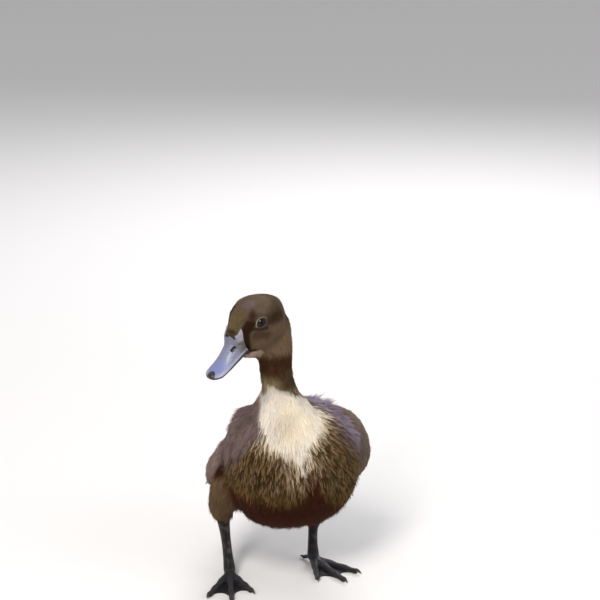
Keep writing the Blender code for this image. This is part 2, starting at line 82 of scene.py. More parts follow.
def in_head(points):
    """Places in the bird's frame as places in the head's own, both in millimetres."""
    matrix = np.array(HEAD.inverted())
    return points @ matrix[:3, :3].T + matrix[:3, 3] * MM


# Numbers and colours
WAVES = 7
WAVE_LENGTHS = (0.7, 1.8)  # as shares of a ripple's scale
WAVES_HEIGHT = 2.6


def linear(rgb):
    """sRGB out of 255 as linear light."""
    c = np.array(rgb, float) / 255
    return np.where(c <= 0.04045, c / 12.92, ((c + 0.055) / 1.055) ** 2.4)


def palette(**colours):
    """Named sRGB colours as linear light."""
    return {name: linear(rgb) for name, rgb in colours.items()}


def smooth(low, high, value):
    """0 at low and 1 at high, with a soft start and end. Low may be the greater."""
    t = np.clip((value - low) / (high - low), 0, 1)
    return t * t * (3 - 2 * t)


def unit(vectors):
    return vectors / np.maximum(np.linalg.norm(vectors, axis=1, keepdims=True), 1e-9)


def mixed(a, b, share):
    return a + (b - a) * np.reshape(share, (-1, 1))


def layered(base, *layers):
    """A colour with others laid over it, each a colour and its share."""
    for colour, share in layers:
        base = mixed(base, colour, share)
    return base


def ripple(points, scale, seed):
    """Smooth random values between about -1 and 1 that change over a distance of scale."""
    rng = np.random.default_rng(seed)
    total = np.zeros(len(points))
    for _ in range(WAVES):
        wave = rng.normal(size=3)
        wave *= 2 * math.pi / (scale * rng.uniform(*WAVE_LENGTHS)) / np.linalg.norm(wave)
        total += np.sin(points @ wave + rng.uniform(0, 6.28))
    return total / WAVES_HEIGHT


def around(points, centre, far, near):
    """1 nearer than near to the centre, and 0 beyond far."""
    return smooth(far, near, np.linalg.norm(points - centre, axis=1))


def to_segment(points, start, end):
    """Distance from each point to the line from start to end."""
    start, end = np.array(start, float), np.array(end, float)
    along = end - start
    share = np.clip((points - start) @ along / (along @ along), 0, 1)
    return np.linalg.norm(points - start - share[:, None] * along, axis=1)


def to_path(points, path):
    return np.min([to_segment(points, a, b) for a, b in zip(path, path[1:])], axis=0)


def within(points, outline):
    """Which of these flat points lie inside a closed outline."""
    x, y = points.T
    inside = np.zeros(len(points), bool)
    for (ax, ay), (bx, by) in zip(outline, outline[1:] + outline[:1]):
        crosses = (ay > y) != (by > y)
        at = ax + (y - ay) * (bx - ax) / (by - ay if by != ay else 1.0)
        inside ^= crosses & (x < at)
    return inside


# Meshes
WELD = 1e-6


def add_object(name, mesh):
    made = bpy.data.objects.new(name, mesh)
    bpy.context.scene.collection.objects.link(made)
    return made


def solids(*nodes):
    """The closed surfaces of these CAD nodes in one bmesh."""
    builder = bmesh.new()
    for node in nodes:
        builder.from_mesh(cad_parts[node].data)
    bmesh.ops.remove_doubles(builder, verts=builder.verts, dist=WELD)
    return builder


def remeshed(name, builder, voxel, rounds):
    """One even, smoothed surface round everything in the bmesh."""
    mesh = bpy.data.meshes.new(name)
    builder.to_mesh(mesh)
    builder.free()
    rough = add_object(name + "_rough", mesh)
    modifier = rough.modifiers.new("voxels", "REMESH")
    modifier.mode = "VOXEL"
    modifier.voxel_size = voxel
    bpy.context.view_layer.update()
    graph = bpy.context.evaluated_depsgraph_get()
    even = bpy.data.meshes.new_from_object(rough.evaluated_get(graph))
    bpy.data.objects.remove(rough)
    bpy.data.meshes.remove(mesh)
    smoother = bmesh.new()
    smoother.from_mesh(even)
    every_way = {"use_axis_x": True, "use_axis_y": True, "use_axis_z": True}
    for _ in range(rounds):
        bmesh.ops.smooth_vert(smoother, verts=smoother.verts, factor=0.5, **every_way)
    smoother.to_mesh(even)
    smoother.free()
    even.name = name
    even.shade_smooth()
    return even


def gathered(collection, attribute, columns, kind=np.float32):
    """One attribute of every item in a collection, as an array with so many columns."""
    values = np.empty(len(collection) * columns, kind)
    collection.foreach_get(attribute, values)
    return values.reshape(-1, columns)


def coordinates(mesh):
    return gathered(mesh.vertices, "co", 3).astype(float)


def normals(mesh):
    return gathered(mesh.vertex_normals, "vector", 3).astype(float)


def move(mesh, co):
    mesh.vertices.foreach_set("co", co.astype(np.float32).ravel())
    mesh.update()


def paint(mesh, colours):
    """Linear colours, one a vertex."""
    layer = mesh.color_attributes.new("Colour", "FLOAT_COLOR", "POINT")
    rgba = np.ones((len(mesh.vertices), 4), np.float32)
    rgba[:, :3] = colours
    layer.data.foreach_set("color", rgba.ravel())


def blurred(mesh, values, rounds):
    """Values of the vertices, evened out with their neighbours' round by round."""
    a, b = gathered(mesh.edges, "vertices", 2, np.int32).T
    count = len(mesh.vertices)
    degree = np.bincount(a, minlength=count) + np.bincount(b, minlength=count) + 1.0
    values = values.copy()
    for _ in range(rounds):
        for k in range(values.shape[1]):
            v = values[:, k]
            total = np.bincount(a, v[b], count) + np.bincount(b, v[a], count) + v
            values[:, k] = total / degree
    return values


def unwrapped(target):
    """Lays the surface out flat with no overlap, for the coat's own places."""
    layer = target.data.uv_layers.new(name="OFBake")
    target.data.uv_layers.active = layer
    bpy.context.view_layer.objects.active = target
    target.select_set(True)
    bpy.ops.object.mode_set(mode="EDIT")
    bpy.ops.mesh.select_all(action="SELECT")
    bpy.ops.uv.smart_project(angle_limit=math.radians(66), island_margin=0.002)
    bpy.ops.object.mode_set(mode="OBJECT")
    target.select_set(False)


def nearest(points, chosen, targets):
    """For every target, the index of the nearest of the chosen points."""
    tree = KDTree(len(chosen))
    for i in chosen:
        tree.insert(points[i], int(i))
    tree.balance()
    return np.array([tree.find(target)[1] for target in targets])


def tube(rows, columns, spans):
    """Quads along a tube of points. With as many spans as rows, its last row joins the first."""
    i, k = np.arange(spans)[:, None], np.arange(columns)
    j, m = (i + 1) % rows, (k + 1) % columns
    corners = [i * columns + k, j * columns + k, j * columns + m, i * columns + m]
    return np.stack(corners, axis=-1).reshape(-1, 4)


# Materials
def tune(node, **values):
    """Sets inputs of the node by name, where _ stands for a space."""
    for socket, value in values.items():
        node.inputs[socket.replace("_", " ")].default_value = value
    return node


class Finish:
    """A new material and its principled shader."""

    def __init__(self, name):
        self.material = bpy.data.materials.new(name)
        self.material.use_nodes = True
        self.tree = self.material.node_tree
        self.shader = self.tree.nodes["Principled BSDF"]

    def node(self, kind, **values):
        return tune(self.tree.nodes.new(kind), **values)

    def join(self, output, target, socket):
        self.tree.links.new(output, target.inputs[socket])

    def bump(self, heights, strength, distance):
        bump = self.node("ShaderNodeBump", Strength=strength, Distance=distance)
        self.join(heights, bump, "Height")
        self.join(bump.outputs["Normal"], self.shader, "Normal")

    def roughen(self, value, low, high):
        """Roughness that goes from low to high as the value goes from 0 to 1."""
        rough = self.node("ShaderNodeMapRange", To_Min=low, To_Max=high)
        self.join(value, rough, "Value")
        self.join(rough.outputs["Result"], self.shader, "Roughness")


def painted(name, roughness, specular=0.5, **values):
    """A finish that takes its colour from the paint on the mesh."""
    finish = Finish(name)
    colour = finish.node("ShaderNodeVertexColor")
    colour.layer_name = "Colour"
    finish.join(colour.outputs["Color"], finish.shader, "Base Color")
    tune(finish.shader, Roughness=roughness, Specular_IOR_Level=specular, **values)
    return finish


def down_material():
    return painted("down", 0.75, 0.1, Sheen_Weight=0.03, Sheen_Roughness=0.45).material


def skin_material():
    finish = painted("skin_under_down", 0.85, 0.2)
    grain = finish.node("ShaderNodeTexNoise", Scale=900)
    finish.bump(grain.outputs["Fac"], 0.5, 0.0008)
    return finish.material


def bill_material():
    finish = painted("bill_horn", 0.36, Coat_Weight=0.15, Coat_Roughness=0.08)
    fine = finish.node("ShaderNodeTexNoise", Scale=700, Detail=5)
    finish.bump(fine.outputs["Fac"], 0.25, 0.0004)
    finish.roughen(fine.outputs["Fac"], 0.28, 0.5)
    return finish.material


def leg_material():
    finish = painted("leg_skin", 0.5, 0.3, Coat_Weight=0.06, Coat_Roughness=0.08)
    scales = finish.node("ShaderNodeTexVoronoi", Scale=1100)
    scales.feature = "DISTANCE_TO_EDGE"
    grooves = finish.node("ShaderNodeMapRange", From_Max=0.12)
    finish.join(scales.outputs["Distance"], grooves, "Value")
    finish.bump(grooves.outputs["Result"], 0.6, 0.0003)
    finish.roughen(grooves.outputs["Result"], 0.6, 0.32)
    return finish.material


def eye_material():
    return painted("eye_gloss", 0.10, 0.12, Coat_Weight=0.05, Coat_Roughness=0.03).material


def lid_material():
    finish = painted("lid_skin", 0.5, Coat_Weight=0.1, Coat_Roughness=0.08)
    wrinkles = finish.node("ShaderNodeTexNoise", Scale=1600)
    finish.bump(wrinkles.outputs["Fac"], 0.5, 0.0003)
    return finish.material


def place(target, material, slot, *replaced):
    """Finishes a piece: its material, its body and the nodes it stands for. Its slot is not used."""
    target.data.materials.clear()
    target.data.materials.append(material)
    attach(target, "root")
    if replaced:
        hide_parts(*replaced)


# The coat by region: depth, strand length, lift in degrees, strand half width, strands a square
# millimetre, clump spacing, and how far a clump draws its strands together
DEPTH, LENGTH, LIFT, WIDTH, DENSITY, SPACING, DRAW = range(7)
COAT = {
    "torso": (0.0044, 0.0110, 22, 0.00021, 3.2, 0.0016, 0.86),
    "neck": (0.0016, 0.0050, 20, 0.00018, 4.8, 0.0016, 0.30),
    "head": (0.0009, 0.0028, 18, 0.00014, 9.5, 0.0011, 0.20),
    "wing": (0.0015, 0.0065, 18, 0.00020, 3.6, 0.0020, 0.50),
    "thigh": (0.0018, 0.0070, 20, 0.00020, 3.4, 0.0020, 0.45),
    "tail": (0.0030, 0.0120, 14, 0.00026, 2.4, 0.0028, 0.60),
}
REGIONS = list(COAT)
COAT_TABLE = np.array(list(COAT.values()))
NODE_REGION = {
    "torso": "torso", "neck": "neck", "head": "head", "wing_left": "wing", "wing_right": "wing",
    "thigh_left": "thigh", "thigh_right": "thigh", "tail": "tail",
}

# The skin under the coat
NODE_GAP = 0.0003  # the nodes swell by this, so that neighbours join
SOCKET_ROOM = 0.0008  # between the eye and its socket
# Places where the skin differs: centre, and the distances where that begins and is full, in mm
NECK_FOOT = ((5.0, -49.0, 124.0), 30, 16)  # the neck's down runs into the breast's with no step
FULL_SHOULDER = ((-27.0, -15.0, 119.0), 17, 5)  # the down stands out most here
HEAD_CORNER = ((9.6, -11.0, 185.0), 18, 4)  # rounded a little at the back of the cheek
SHOULDER_FILL = 0.8
CORNER_DEPTH = 0.0011
TAIL_CORE_END = 0.0755  # behind this the tail is all locks
TAIL_BUD = (Vector((0.013, 0.0775, 0.0643)), Vector((0.0140, 0.0135, 0.0080)))
LID_EDGE = (4.3, 3.4)  # half the length and height of the lids' outer edge, in mm


def eye_frame(side):
    """Z points out of the eye, X runs along the head and Y up."""
    axis = Vector((side * EYE_AXIS.x, EYE_AXIS.y, EYE_AXIS.z))
    along = Vector((0, -1, 0))
    along = (along - axis * along.dot(axis)).normalized()
    matrix = Matrix((along, axis.cross(along), axis)).transposed().to_4x4()
    matrix.translation = Vector((side * EYE.x, EYE.y, EYE.z))
    return HEAD_TO_CAD @ matrix


def round_eyes(points):
    """How far points are from the nearer eye's middle, where 1 is the lids' outer edge.

    Also the way straight out from that middle."""
    reach = np.full(len(points), 99.0)
    away = np.zeros((len(points), 3))
    for side in (1, -1):
        matrix = eye_frame(side)
        local = (points - np.array(matrix.translation)) @ np.array(matrix.to_3x3()) * MM
        ellipse = np.hypot(local[:, 0] / LID_EDGE[0], local[:, 1] / LID_EDGE[1])
        here = (local[:, 2] > 0) & (ellipse < reach)
        outwards = local * (1, 1, 0) @ np.array(matrix.to_3x3()).T
        reach = np.where(here, ellipse, reach)
        away = np.where(here[:, None], outwards, away)
    return reach, unit(away)


def tail_core():
    """The tail cut off before its locks, with a rounded end."""
    builder = solids("tail")
    cut = BIRD @ Vector((0, TAIL_CORE_END, 0))
    geometry = [*builder.verts, *builder.edges, *builder.faces]
    bmesh.ops.bisect_plane(builder, geom=geometry, plane_co=cut, plane_no=(0, 1, 0), clear_outer=True)
    bmesh.ops.holes_fill(builder, edges=[e for e in builder.edges if e.is_boundary])
    bud = bmesh.ops.create_uvsphere(builder, u_segments=24, v_segments=16, radius=1.0)
    centre, size = TAIL_BUD
    matrix = BIRD @ Matrix.Translation(centre) @ Matrix.Diagonal((*size, 1))
    bmesh.ops.transform(builder, matrix=matrix, verts=bud["verts"])
    core = bpy.data.meshes.new("tail_core")
    builder.to_mesh(core)
    builder.free()
    return core


def region_weights(mesh):
    """How far each vertex belongs to each region, blurred over the seams."""
    graph = bpy.context.evaluated_depsgraph_get()
    trees = [
        (REGIONS.index(region), BVHTree.FromObject(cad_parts[node], graph))
        for node, region in NODE_REGION.items()
    ]
    weights = np.zeros((len(mesh.vertices), len(REGIONS)))
    for i, vert in enumerate(mesh.vertices):
        closest = min(trees, key=lambda t: t[1].find_nearest(vert.co)[3])
        weights[i, closest[0]] = 1
    weights = blurred(mesh, weights, rounds=10)
    wide = blurred(mesh, weights, rounds=70)
    return mixed(weights, wide, around(in_mm(coordinates(mesh)), *NECK_FOOT))


def body_skin():
    """One surface through all the nodes of flesh, inside them by the coat's depth."""
    core = tail_core()
    builder = solids(*(node for node in NODE_REGION if node != "tail"))
    builder.from_mesh(core)
    builder.normal_update()
    for vert in builder.verts:
        vert.co += vert.normal * NODE_GAP
    for side in (1, -1):
        radius = EYE_RADIUS + SOCKET_ROOM
        seat = bmesh.ops.create_uvsphere(builder, u_segments=32, v_segments=24, radius=radius)
        bmesh.ops.transform(builder, matrix=eye_frame(side), verts=seat["verts"])
    mesh = remeshed("skin", builder, voxel=0.0013, rounds=5)
    weights = region_weights(mesh)
    place_mm = in_mm(coordinates(mesh))
    inset = weights @ COAT_TABLE[:, DEPTH]
    inset = inset * (1 - SHOULDER_FILL * around(place_mm, *FULL_SHOULDER))
    inset = inset + CORNER_DEPTH * around(place_mm, *HEAD_CORNER)
    move(mesh, coordinates(mesh) - normals(mesh) * inset[:, None])
    return add_object("skin", mesh), weights


# Markings. All places are in the bird's own frame and in millimetres.
TIP = palette(
    crown=(107, 90, 74), patch=(126, 108, 110), brow=(84, 70, 46), forehead=(110, 93, 64),
    cheek=(114, 93, 71), lore=(46, 20, 4), chin=(226, 196, 176), nape=(76, 60, 38),
    throat=(60, 31, 10), neck_front=(140, 122, 90), bib=(234, 226, 213), streak=(232, 214, 184),
    tan=(158, 124, 68), gold=(110, 78, 22), breast=(96, 70, 40), flank=(98, 82, 44),
    shoulder=(126, 107, 103), mauve=(156, 143, 165), back=(92, 74, 68), rump=(66, 48, 42),
    # the belly's down is dark brown, painted darker still with shade; this colour also paints shadow in
    # the fold and the gap
    belly=(66, 25, 3), thigh=(114, 90, 64), wing=(148, 128, 120),
)
ROOT = palette(dark=(30, 15, 8), bib=(224, 208, 180))
BIB_CREAM = np.array((1.0, 0.97, 0.84))  # the bib is tinted by this away from its edge

# The bib's two edges as seen from the front, by height
BIB_HEIGHT = (94, 99, 103, 107, 111, 116, 120, 125, 130, 134.5, 138.5, 143, 147)
BIB_RIGHT = (8, 4.5, -2, -9, -14.5, -16, -16, -16, -15.2, -14, -12.2, -9.6, -9.4)
BIB_LEFT = (9.5, 11.5, 14, 16, 19.5, 25.5, 29.5, 28.5, 23, 17.5, 12.5, 2.5, -6.5)
BIB_BACK = -23.0  # the bib stays in front of this y
# The breast's lower edge: x, z
FRINGE = ((-31, -25, -16, -5, 6, 13, 18, 24, 30, 41), (71, 70, 68.5, 66.5, 67.5, 72, 75, 71, 64, 60))
# The right shoulder's lower edge: y, z
SHOULDER_LOW = ((-46.5, -43.5, -39.5, -32, -15), (123, 114, 105, 97.5, 88.5))
# The gap between the breast and the left flank, where shade is painted dark
PARTING = ((16, -57, 89), (18, -54.5, 80), (20, -51, 68))
# The fold under the right wing, where its shadow is painted dark, and the painted shadow's half width by
# y, which narrows to the front
CREASE = ((-37.6, -2.0, 76.5), (-33.7, -19.4, 86.7), (-32.1, -29.5, 92.5), (-29.5, -37.3, 97.3))
CREASE_WIDTH = ((-38, -2), (0.8, 4.4))
# The left shoulder, where the sky's light is painted on the dark down as a mauve sheen
MAUVE = ((24, 2, 130), (37, -9, 122), (50, -15, 110), (62, -6, 96), (71, 6, 85))
STREAK_REACH = 16.0  # the streaks fade over this distance from the bib

# Places on the side of the head, in its own frame: distance forward and height
LORE = ((23.6, -1.6), (23.2, 2.6), (20.6, 6.6), (16.4, 10.0), (12.2, 12.2))
LORE_TOP = ((12.2, 12.2), (9.6, 14.8), (7.2, 17.2))
EYE_SPOT = (7.4, 10.6)
CHIN = ((22.6, -8.2), (17.2, -11.6))
BROW_EDGE = ((26.0, 10.2), (22.6, 11.6))
# Dark lines: path, the distances where the dark ends and where it is full, and its share
DARK_LINES = (
    (((13.4, 9.6), (11.0, 6.6), (6.6, 4.9)), 1.9, 0.9, 0.8),  # under the eye
    (((2.5, 8.0), (-8.0, 3.0)), 6.5, 1.0, 0.78),  # behind the eye
    (((14.0, 4.0), (9.0, 0.0)), 5.0, 1.0, 0.55),  # on the cheek
    (((23.7, -4.0), (19.4, -6.6)), 2.1, 0.9, 1.0),  # at the mouth's corner
)
CROWN_PATCH = ((2.0, -2.0, 19.0), 6.5, 2.5)  # a painted sheen of light on the crown: centre and the distances where it ends and is full
BILL_BASE = (
    (28.0, 7.6), (25.4, 9.8), (23.9, 10.5), (22.5, 10.6), (20.9, 11.6), (19.1, 12.6), (20.3, 10.4),
    (21.8, 8.2), (23.0, 5.2), (23.9, 1.4), (23.4, -2.3), (23.2, -4.2), (28.0, -4.0),
)


def inside_bib(p):
    """How far a point is inside the bib's edge, in millimetres. Outside, it is below zero."""
    x, y, z = p.T
    right = x - np.interp(z, BIB_HEIGHT, BIB_RIGHT)
    left = np.interp(z, BIB_HEIGHT, BIB_LEFT) - x
    return np.min([right, left, z - BIB_HEIGHT[0], BIB_HEIGHT[-1] - z, BIB_BACK - y], axis=0)


def head_tips(p, patchy):
    """Colours of the head's down."""
    h = in_head(p)
    forward, height, lateral = -h[:, 1], h[:, 2], np.abs(h[:, 0])
    flat = np.stack([forward, height], axis=1)
    ragged = 0.5 * patchy + 0.45 * ripple(p, 4.5, 12)
    dark = [
        smooth(3.2, 1.7, to_path(flat, LORE) + ragged),
        smooth(4.4, 0.2, to_path(flat, LORE_TOP) + ragged) * smooth(5.5, 9.5, lateral) * 0.85,
        smooth(7.2, 4.4, np.linalg.norm(flat - EYE_SPOT, axis=1) + ragged) * 0.5,
    ]
    dark += [smooth(far, near, to_path(flat, path)) * share for path, far, near, share in DARK_LINES]
    edge = smooth(1.6, 0.4, to_path(flat, BROW_EDGE) + 0.3 * ripple(p, 2.5, 14))
    return layered(
        TIP["cheek"],
        (TIP["crown"], smooth(9, 15, height + 0.8 * patchy)),
        (TIP["brow"], smooth(9, 2, forward) * smooth(15, 11, height) * smooth(4, 8, height) * 0.8),
        # Painted sheen of light on the crown
        (TIP["patch"], around(h, *CROWN_PATCH) * 0.6),
        (TIP["forehead"], smooth(3, 16, forward) * smooth(4, 12, height)),
        (TIP["nape"], smooth(-6, -16, forward) * 0.6),
        (TIP["lore"], np.max(dark, axis=0) * smooth(4.5, 7.0, lateral)),
        (TIP["lore"] * 0.5, edge * smooth(8.5, 6.0, lateral) * 0.75),
        (TIP["chin"], smooth(3.4, 1.8, to_path(flat, CHIN)) * smooth(2, 5, lateral) * 0.85),
    )


def neck_tips(p):
    """Colours of the neck's down: pale in front at its foot, with a band of painted shadow under the chin.
    """
    x, y, z = p.T
    uneven = z + 2.5 * ripple(p, 7, 13)
    # Painted shadow of the head: a dark band under the chin
    band = smooth(151, 160, uneven) * smooth(171, 164, uneven) * smooth(-11, -20, y) * 0.88
    return layered(
        TIP["nape"],
        (TIP["neck_front"], smooth(-25, -33, y) * smooth(156, 148, z) * smooth(3, -8, x)),
        (TIP["throat"], band),
        (TIP["cheek"], smooth(164, 169, z) * smooth(-8, -16, y)),
    )


def markings(points, weights, lock):
    """Root and tip colours at these points, and how far they are bib and streaks.

    lock is a random value that each clump shares."""
    p = in_mm(points)
    x, y, z = p.T
    w = {region: weights[:, k] for k, region in enumerate(REGIONS)}
    patchy = ripple(p, 14, 3)

    # How far each point is in each marking
    above_edge = z - np.interp(y, *SHOULDER_LOW)
    right = smooth(2, -6, x) * smooth(-5, 3, above_edge + 2 * patchy + 7 * (lock - 0.5))
    left = smooth(-6, 2, x) * smooth(-34, -22, y + 2 * patchy) * smooth(80, 94, z)
    front = smooth(30, -4, y)
    # Painted reflection of the sky: a mauve sheen on the left shoulder's dark down
    to_mauve = to_path(p, MAUVE) + 2 * patchy
    mauve = np.maximum(smooth(18, 9, to_mauve), 0.45 * smooth(34, 12, to_mauve))
    mauve = mauve * (0.4 + 0.6 * smooth(12, -6, y))
    limit = np.interp(x, *FRINGE) + 2.2 * (lock - 0.5)
    # Below the breast's lower edge the down is dark brown, painted darker still with the shade under the
    # breast
    belly = smooth(1.5, -1.5, z - limit)
    # Painted shadow in the fold under the right wing
    crease = smooth(1.6, 0.0, to_path(p, CREASE) - np.interp(y, *CREASE_WIDTH) + 0.6 * patchy)
    # Painted shade in the gap between the breast and the left flank
    parting = smooth(8.0, 4.4, to_path(p, PARTING) + patchy + 2 * (lock - 0.5))
    up_neck = smooth(136, 148, z)
    off_head = 1 - w["head"]
    on_head = np.maximum(smooth(0.35, 0.65, w["head"]), smooth(168, 178, z))
    wing = layered(
        TIP["wing"],
        (TIP["back"], smooth(10, 48, y) * 0.65),
        (TIP["flank"], smooth(10, 30, x) * 0.5),
    )
    tip = layered(
        TIP["breast"],
        (TIP["back"], smooth(-14, 6, y)),
        (TIP["shoulder"], right * front * 0.95),
        (TIP["shoulder"] * 0.85, left * front * 0.7),
        (TIP["mauve"], mauve * 0.85),
        (TIP["rump"], smooth(40, 70, y)),
        (TIP["flank"], smooth(22, 34, x) * smooth(104, 84, z) * smooth(4, -20, y) * 0.8),
        (TIP["gold"], smooth(17, 4, z - limit) * smooth(-8, -26, y) * 0.7),
        (TIP["belly"], belly),
        (wing, w["wing"] * 0.9),
        (TIP["thigh"], w["thigh"] * smooth(0, 1, w["thigh"])),
        # Painted shadow in the fold under the right wing, and painted shade in the gap beside the breast
        (TIP["belly"] * 0.6, crease * 0.95),
        (TIP["belly"], parting * 0.95),
        (TIP["rump"], w["tail"]),
        (neck_tips(p), up_neck),
        (head_tips(p, patchy), on_head),
    )

    # Roots are dark where the down is deep, and like the tips where it is short or plain
    plain = np.maximum(np.maximum(right * front, mauve * 0.8), np.maximum(w["wing"], w["thigh"]))
    root = layered(
        tip * 0.14 + ROOT["dark"] * 0.55,
        (tip * 0.5, smooth(0.3, 0.7, w["head"] + w["neck"])),
        (tip * 0.5, plain * (1 - crease) * (1 - belly) * 0.85),
    )

    # Streaks run out from the bib over the breast
    inside = inside_bib(p)
    ahead = smooth(-6, -22, y - 6 * smooth(-10, -25, x)) * off_head * (1 - up_neck)
    ahead = ahead * (1 - right) * (1 - belly) * (1 - 0.8 * mauve)
    high = smooth(120, 130, z) * np.maximum(smooth(8, 16, x), smooth(-30, -22, y))
    ahead = ahead * (1 - crease) * (1 - parting) * (1 - high)
    reach = np.clip(-inside, 0, 80) * (1 - 0.35 * smooth(-12, -24, x))
    near = np.exp(-((reach / STREAK_REACH) ** 1.5))
    strength = np.maximum(near, 0.40 * smooth(1, 12, z - limit))
    pick = lock + 0.22 * near
    pale = mixed(TIP["tan"], TIP["streak"], near)
    tip = mixed(tip, pale, strength * smooth(0.50, 0.64, pick) * ahead)
    tip = mixed(tip, tip * (0.34 + 0.3 * near)[:, None], smooth(0.50, 0.36, pick) * ahead)
    root = mixed(root, TIP["tan"] * 0.5, near * ahead * 0.6)

    # The bib's edge is ragged, clump by clump
    frayed = smooth(0.2, 1.0, ahead + smooth(2, 12, x) * off_head * (1 - up_neck))
    ragged = inside + 5.5 * (lock - 0.45) * frayed
    bib = smooth(-0.8, 0.8, ragged) * off_head
    tip = mixed(tip, TIP["bib"], bib)
    tip = mixed(tip, tip * BIB_CREAM, bib * smooth(6, 16, inside) * 0.8)
    # Painted shade on the bib's top, under the head
    tip = mixed(tip, tip * 0.80, bib * smooth(126, 140, z))
    root = mixed(root, ROOT["bib"], smooth(0.5, 4.0, ragged) * off_head)

    shade = 1 + 0.08 * patchy + 0.36 * (lock - 0.5) * (1 - bib) * (1 - 0.6 * on_head)
    shade = shade + 0.07 * ripple(p, 3.2, 7) * on_head
    return root * shade[:, None], tip * shade[:, None], bib, ahead


# The lie of the down. Directions are in the bird's own frame, and the last two in the head's.
SOURCE = (0.003, -0.030, 0.134)  # the body's down runs out from here
SOURCE_RISE = 0.022  # and from higher up on the right side
NECK_LIE = np.array((0.03, -0.12, -1.0))
LEG_LIE = np.array((0.0, 0.15, -1.0))
TAIL_LIE = np.array((0.0, 1.0, -0.30))
DROOP = np.array((0, 0, -0.20))
BACKWARDS = Vector((0, 1, -0.15))
BILL_ROOT = Vector((0, -0.040, 0.002))


def lie(points, normal, weights):
    """Which way the down runs: from the bill over the head, down the neck and out over the body."""
    p = points - SHIFT
    w = {region: weights[:, k] for k, region in enumerate(REGIONS)}
    source = np.tile(SOURCE, (len(p), 1))
    source[:, 2] += SOURCE_RISE * smooth(0.004, -0.012, p[:, 0])
    along = mixed(unit(p - source), NECK_LIE, smooth(0.124, 0.142, p[:, 2]))
    backwards = np.array(HEAD.to_3x3() @ BACKWARDS)
    over_head = unit(unit(p - np.array(HEAD @ BILL_ROOT)) + backwards * 0.8)
    along = mixed(along, over_head, smooth(0.3, 0.8, w["head"]))
    along = mixed(along, LEG_LIE, np.maximum(w["thigh"], w["wing"] * 0.4))
    along = mixed(along, TAIL_LIE, w["tail"])
    along = unit(along) + DROOP * (1 - w["head"])[:, None]
    return unit(along - normal * np.sum(along * normal, axis=1)[:, None])


def roots(skin, weights, density):
    """Random places on the skin: position, normal, region weights and place on the unwrap."""
    mesh = skin.data
    mesh.calc_loop_triangles()
    corners = gathered(mesh.loop_triangles, "vertices", 3, np.int32)
    loops = gathered(mesh.loop_triangles, "loops", 3, np.int32)
    uv = gathered(mesh.uv_layers["OFBake"].data, "uv", 2)
    co, no = coordinates(mesh), normals(mesh)
    a, b, c = (co[corners[:, k]] for k in range(3))
    area = np.linalg.norm(np.cross(b - a, c - a), axis=1) / 2 * MM**2
    wanted = area * (weights[corners].mean(axis=1) @ density)
    number = np.floor(wanted + RNG.random(len(corners))).astype(int)
    face = np.repeat(np.arange(len(corners)), number)
    s, t = np.sqrt(RNG.random(len(face))), RNG.random(len(face))
    bary = np.stack([1 - s, s * (1 - t), s * t], axis=1)

    def at(values, index):
        return np.einsum("ij,ijk->ik", bary, values[index[face]])

    return at(co, corners), unit(at(no, corners)), at(weights, corners), at(uv, loops)


def clumps(points, density, spacing):
    """For every root, the index of the clump's own root."""
    chance = 1 / np.maximum(density * (spacing * MM) ** 2, 1)
    chosen = np.flatnonzero(RNG.random(len(points)) < chance)
    return nearest(points, chosen, points)


# A strand's triangles by its number of stops. Each stop has three corners, and the last has one.
TRIANGLES = {
    3: ((0, 1, 4), (0, 4, 3), (1, 2, 5), (1, 5, 4), (2, 0, 3), (2, 3, 5), (3, 4, 6), (4, 5, 6), (5, 3, 6)),
    2: ((0, 1, 3), (1, 2, 3), (2, 0, 3), (0, 2, 1)),
}
PIECE_LIMIT = 190000  # triangles
PATCH = 0.003  # the size of one strand on the unwrap
SOFTNESS = 0.55  # how far a strand is lit like the skin under it


def strand_piece(name, centres, widths, axes, colours, uv, slot, material):
    """One mesh of three-sided strands that run through centres and end in a point."""
    count, stops = len(centres[0]), len(centres)
    side, over = axes
    per = 3 * (stops - 1) + 1
    verts, paints, radial = np.empty((3, count, per, 3))
    places = np.empty((count, per, 2))
    roll = RNG.uniform(0, 2 * math.pi, count)
    for stop in range(stops - 1):
        for k in range(3):
            angle = roll - 2 * math.pi * k / 3
            out = side * np.cos(angle)[:, None] + over * np.sin(angle)[:, None]
            i = stop * 3 + k
            verts[:, i] = centres[stop] + out * widths[stop][:, None]
            radial[:, i] = out
            paints[:, i] = colours[stop]
            places[:, i] = uv + np.array(((k - 1) * PATCH / 2, PATCH * stop / (stops - 1)))
    verts[:, -1] = centres[-1]
    radial[:, -1] = over
    paints[:, -1] = colours[-1]
    places[:, -1] = uv + np.array((0, PATCH))
    pattern = np.array(TRIANGLES[stops])
    faces = (np.arange(count)[:, None, None] * per + pattern[None]).reshape(-1)

    mesh = bpy.data.meshes.new(name)
    mesh.vertices.add(count * per)
    mesh.vertices.foreach_set("co", verts.astype(np.float32).ravel())
    mesh.loops.add(len(faces))
    mesh.loops.foreach_set("vertex_index", faces.astype(np.int32))
    mesh.polygons.add(len(faces) // 3)
    mesh.polygons.foreach_set("loop_start", np.arange(0, len(faces), 3, dtype=np.int32))
    mesh.update(calc_edges=True)
    mesh.shade_smooth()
    paint(mesh, paints.reshape(-1, 3))
    layer = mesh.uv_layers.new(name="OFBake")
    layer.data.foreach_set("uv", places.reshape(-1, 2)[faces].astype(np.float32).ravel())
    soft = radial * (1 - SOFTNESS) + over[:, None, :] * SOFTNESS
    mesh.normals_split_custom_set_from_vertices(unit(soft.reshape(-1, 3)).astype(np.float32))
    place(add_object(name, mesh), material, slot)


BARE_EYE = 0.97  # no strand stands nearer to an eye than this, where 1 is the lids' edge
SWING = 10  # how far strands stray from the lie, in degrees


